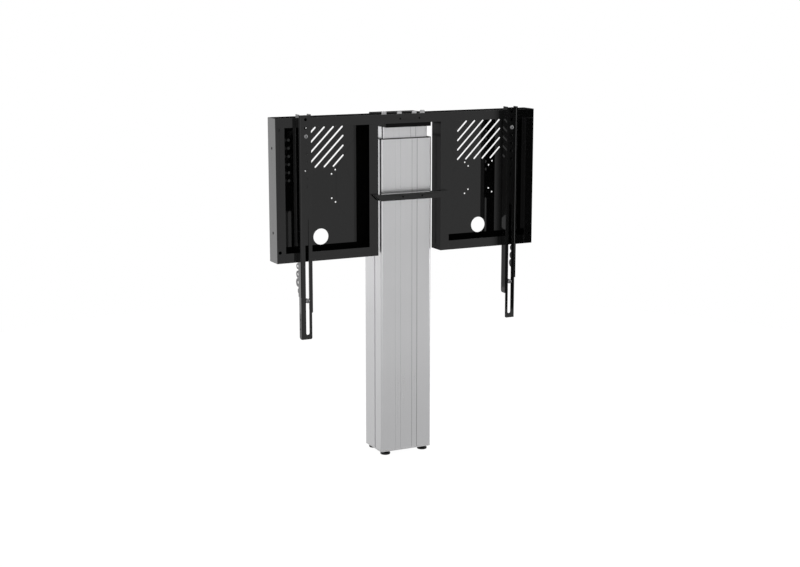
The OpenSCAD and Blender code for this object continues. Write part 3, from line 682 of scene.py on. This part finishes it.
class STAND_OT_stage(bpy.types.Operator):
    """Make the camera, the pale floor and the soft studio light"""

    bl_idname = "stand.stage"
    bl_label = "Stage"

    def execute(self, context):
        settings = context.scene.stand_stage
        self.camera(context)
        self.surround(context, settings)
        self.floor(context, settings)
        self.lamp(context, settings)
        context.scene.view_settings.view_transform = "Standard"
        return {"FINISHED"}

    def camera(self, context):
        """Camera at the photograph's angle"""
        lens = bpy.data.cameras.new("camera")
        lens.sensor_width = SENSOR_WIDTH
        lens.lens = PHOTO_FOCAL * SENSOR_WIDTH / PHOTO_WIDTH
        yaw, pitch = math.radians(PHOTO_YAW), math.radians(PHOTO_PITCH)
        eye = bpy.data.objects.new("camera", lens)
        eye.location = PHOTO_EYE
        ahead = Vector((
            math.sin(yaw) * math.cos(pitch), math.cos(yaw) * math.cos(pitch), -math.sin(pitch)))
        eye.rotation_euler = ahead.to_track_quat("-Z", "Y").to_euler()
        context.scene.collection.objects.link(eye)
        context.scene.camera = eye

    def surround(self, context, settings):
        """White surround that is darker or brighter in some sectors, which the paint and the column show.
        The camera itself sees plain white."""
        world = bpy.data.worlds.new("studio")
        context.scene.world = world
        air = Surface(world)
        x, y, z = air.axes(air.node("ShaderNodeTexCoord", output="Generated"))
        ahead = air.maths("ARCTAN2", x, -y) * (180 / math.pi)
        sector = {name: air.band(ahead, *edges) for name, edges in SECTORS.items()}
        seen = air.node("ShaderNodeLightPath", output="Is Camera Ray")
        polished = air.node("ShaderNodeLightPath", output="Is Glossy Ray")
        fill = sector["fill"] * (1.0 - polished * air.smooth(ahead, *FILL_FADE))
        level = settings.studio_level
        for share, other in (
                (sector["front"], settings.front_level), (sector["back_left"], settings.side_level),
                (sector["inner"], settings.inner_level), (fill, settings.fill_level)):
            level = level + share * (other - settings.studio_level)
        aside = sector["left"] + sector["right"]
        level = level - polished * aside * settings.aside_drop
        behind = sector["dark_behind"] * air.band(z, *DARK_BEHIND_RISE)
        dark = air.maths("MAXIMUM", sector["dark_right"], behind)
        level = level + dark * (settings.dark_level - level)
        strength = level + seen * (1.0 - level)
        shader = air.node("ShaderNodeBackground", inputs={"Color": WHITE, "Strength": strength})
        air.node("ShaderNodeOutputWorld", inputs={"Surface": shader})

    def floor(self, context, settings):
        """Pale round floor that keeps a faint shadow. Polished faces show it darker, most of all in front
        of the stand: a painted shadow that glows dimmer near the stand."""
        mesh = bmesh.new()
        bmesh.ops.create_circle(mesh, cap_ends=True, segments=96, radius=settings.floor_radius)
        data = bpy.data.meshes.new("floor")
        mesh.to_mesh(data)
        mesh.free()
        made, surface = material("pale_floor")
        matt = surface.node("ShaderNodeBsdfDiffuse", inputs={"Color": shade(settings.floor_color, 1.0)})
        seen = surface.node("ShaderNodeLightPath", output="Is Camera Ray")
        plain = surface.mix_shaders(seen * settings.floor_glow, matt, surface.glow(FLOOR_WHITE))
        y = surface.axes(surface.place())[1]
        # Painted shadow for polished faces: the floor glows dimmer near the stand, and more so in front
        # of it
        away = surface.maths("ABSOLUTE", y) + (y > 0.0) * FLOOR_BEHIND
        share = away / (settings.floor_radius + FLOOR_BEHIND)
        mirrored = surface.mix_shaders(
            share, surface.glow(settings.floor_near), surface.glow(settings.floor_far))
        polished = surface.node("ShaderNodeLightPath", output="Is Glossy Ray")
        surface.show(surface.mix_shaders(polished, plain, mirrored))
        data.materials.append(made)
        obj = bpy.data.objects.new("floor", data)
        obj.location.z = -FLOOR_GAP
        context.scene.collection.objects.link(obj)

    def lamp(self, context, settings):
        """Soft lamp over the stand, which polished faces don't show"""
        light = bpy.data.lights.new("top_lamp", "AREA")
        light.shape = "RECTANGLE"
        light.size, light.size_y = LAMP_SIZE
        light.energy = settings.top_lamp
        holder = bpy.data.objects.new("top_lamp", light)
        holder.location = LAMP_PLACE
        aim = Vector(LAMP_AIM) - holder.location
        holder.rotation_euler = aim.to_track_quat("-Z", "Y").to_euler()
        holder.visible_glossy = False
        context.scene.collection.objects.link(holder)


class STAND_OT_column(bpy.types.Operator):
    """Finish the two profiles, the base plate, the cap ring and the grommet"""

    bl_idname = "stand.column"
    bl_label = "Column"

    def execute(self, context):
        metal, coat = context.scene.stand_metal, context.scene.stand_coat
        for profile in ("outer", "inner"):
            node = profile + "_column"
            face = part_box(node)[1].y
            finish_node(node, anodised_profile("anodised_" + profile, metal.extrusion_color, face))
        plate = machined_metal("milled_plate", shade(metal.extrusion_color, 0.92), roughness=0.4)
        finish_node("base_plate", plate, coat.edge_radius)
        plastic = grained_plastic("black_plastic", coat.plastic_color)
        for node in ("column_cap", "cable_grommet"):
            finish_node(node, plastic, coat.edge_radius)
        return {"FINISHED"}


class STAND_OT_drive(bpy.types.Operator):
    """Finish the spindle drive and the glides inside the column"""

    bl_idname = "stand.drive"
    bl_label = "Drive"

    def execute(self, context):
        metal, coat = context.scene.stand_metal, context.scene.stand_coat
        steel = machined_metal("machined_steel", metal.steel_color)
        for node in ("base_screws", "nut_plate_screws", "head_screws", "carrier_posts", "screw_bearing"):
            finish_node(node, steel)
        finish_node("motor", gloss_paint("motor_paint", NEAR_BLACK, roughness=0.3, peel=0.1))
        thread_steel = screw_thread_steel("lead_screw_steel", metal.steel_color, LEAD_PITCH, LEAD_STARTS)
        finish_node("lead_screw", thread_steel)
        glide = grained_plastic("glide_plastic", coat.glide_color, roughness=0.35)
        soft_edged = {
            "motor_carrier": steel,
            "nut_plate": steel,
            "upper_glides": glide,
            "lower_glides": glide,
            "gearbox": cast_metal("cast_housing", CAST_GREY),
            "control_box": grained_plastic("box_plastic", NEAR_BLACK),
            "lead_nut": machined_metal("brass", metal.brass_color, roughness=0.3),
        }
        for node, finish in soft_edged.items():
            finish_node(node, finish, coat.edge_radius)
        return {"FINISHED"}


class STAND_OT_frame(bpy.types.Operator):
    """Finish the head, the frame and the crossbar in gloss black"""

    bl_idname = "stand.frame"
    bl_label = "Frame"

    def execute(self, context):
        coat = context.scene.stand_coat
        color = coat.paint_color
        paint = gloss_paint("gloss_black", color)
        matt = matt_paint("matt_black", color)
        finishes = dict.fromkeys(GLOSS_NODES, paint)
        finishes.update(dict.fromkeys(("head_plate", "head_bracket"), matt))
        # Painted light inside the crossbar, and painted shade on the left faces of the right box's inner
        # post
        finishes["crossbar"] = gloss_paint(
            "gloss_black_crossbar", color, painted_light_box=(*CROSSBAR_INSIDE, coat.painted_light_color))
        finishes["inner_post_right"] = gloss_paint("gloss_black_inner_post", color, painted_shade_share=coat.inner_painted_shade)
        finishes["back_panel_left"] = gloss_paint("gloss_black_left_panel", color, lean=coat.panel_lean)
        for node, finish in finishes.items():
            finish_node(node, finish, coat.edge_radius)
        return {"FINISHED"}


class STAND_OT_arms(bpy.types.Operator):
    """Finish the two hanging arms"""

    bl_idname = "stand.arms"
    bl_label = "Arms"

    def execute(self, context):
        coat = context.scene.stand_coat
        paint = gloss_paint("arm_black", coat.paint_color, roughness=0.05, peel=0.02)
        for side in ("left", "right"):
            for part in ("rail", "hook", "jaw", "side_plate", "toothed_plate"):
                finish_node("arm_%s_%s" % (part, side), paint, coat.edge_radius)
        return {"FINISHED"}


class STAND_OT_bolts(bpy.types.Operator):
    """Make the plated bolts of the frame and the arms, with chamfered heads and threads"""

    bl_idname = "stand.bolts"
    bl_label = "Bolts"

    def execute(self, context):
        pitch = context.scene.stand_bolts.thread_pitch
        color = context.scene.stand_metal.zinc_color
        zinc = machined_metal("plated_zinc", color, roughness=0.28)
        dark = machined_metal("dark_zinc", shade(color, 0.4), roughness=0.16)
        mesh = bmesh.new()
        for x, y in FRAME_BOLTS:
            hex_bolt(mesh, Matrix.Translation((x, y, FRAME_TOP)), FRAME_GRIP, FRAME_NUT, pitch)
        piece("hex_bolts_frame", mesh, zinc, "lift", ["frame_bolts"])
        facing_front = Matrix.Rotation(math.pi / 2, 4, "X")
        for side, slot_x in ARM_SLOTS.items():
            mesh = bmesh.new()
            for down, grip in CLAMPS:
                place = Matrix.Translation((slot_x, ARM_FACE, FRAME_TOP - down))
                button_screw(mesh, place @ facing_front, grip, CLAMP_NUT, pitch)
            piece("clamp_screws_" + side, mesh, dark, side + "_arm", ["arm_screws_" + side])
        return {"FINISHED"}


class STAND_OT_feet(bpy.types.Operator):
    """Make the four levelling feet, with a hexagon neck and a threaded stud"""

    bl_idname = "stand.feet"
    bl_label = "Feet"

    def execute(self, context):
        oxide = machined_metal("black_oxide", OXIDE_BLACK, roughness=0.42)
        across = context.scene.stand_bolts.foot_hex
        pad_top = FOOT_PAD[-1][1]
        for row in ("front", "rear"):
            for side in ("left", "right"):
                name = "foot_%s_%s" % (row, side)
                low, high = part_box(name)
                spot = Matrix.Translation(((low.x + high.x) / 2, (low.y + high.y) / 2, 0))
                mesh = bmesh.new()
                lathe(mesh, FOOT_PAD, spot, steps=64)
                hex_head(mesh, across, FOOT_NECK, spot @ Matrix.Translation((0, 0, pad_top)))
                thread(mesh, STUD_RADIUS, STUD_PITCH, high.z, high.z - STUD_START, spot, steps=24)
                piece("levelling_" + name, mesh, oxide, name, [name])
        return {"FINISHED"}


class STAND_PT_panel(bpy.types.Panel):
    """Sidebar panel that lists the stand's operators and settings"""

    bl_label = "Display Stand"
    bl_idname = "STAND_PT_panel"
    bl_space_type = "VIEW_3D"
    bl_region_type = "UI"
    bl_category = "Display Stand"

    def draw(self, context):
        for group in ("stand_stage", "stand_metal", "stand_coat", "stand_bolts"):
            settings = getattr(context.scene, group)
            box = self.layout.box()
            for name in settings.bl_rna.properties.keys():
                if name not in ("rna_type", "name"):
                    box.prop(settings, name)
        for operator in OPERATORS:
            self.layout.operator(operator.bl_idname)


SETTINGS = {
    "stand_stage": StandStageSettings,
    "stand_metal": StandMetalSettings,
    "stand_coat": StandCoatSettings,
    "stand_bolts": StandBoltSettings,
}
OPERATORS = (
    STAND_OT_stage, STAND_OT_column, STAND_OT_drive, STAND_OT_frame, STAND_OT_arms, STAND_OT_bolts,
    STAND_OT_feet,
)


def register():
    """Adds the settings, the operators and the panel to Blender"""
    for name, settings in SETTINGS.items():
        bpy.utils.register_class(settings)
        setattr(bpy.types.Scene, name, bpy.props.PointerProperty(type=settings))
    for cls in OPERATORS + (STAND_PT_panel,):
        bpy.utils.register_class(cls)


def unregister():
    """Takes them out again, in the other order"""
    for cls in reversed(OPERATORS + (STAND_PT_panel,)):
        bpy.utils.unregister_class(cls)
    for name, settings in reversed(SETTINGS.items()):
        delattr(bpy.types.Scene, name)
        bpy.utils.unregister_class(settings)


def main():
    """Builds everything in order"""
    register()
    for operator in OPERATORS:
        group, name = operator.bl_idname.split(".")
        getattr(getattr(bpy.ops, group), name)()


if __name__ == "__main__":
    main()
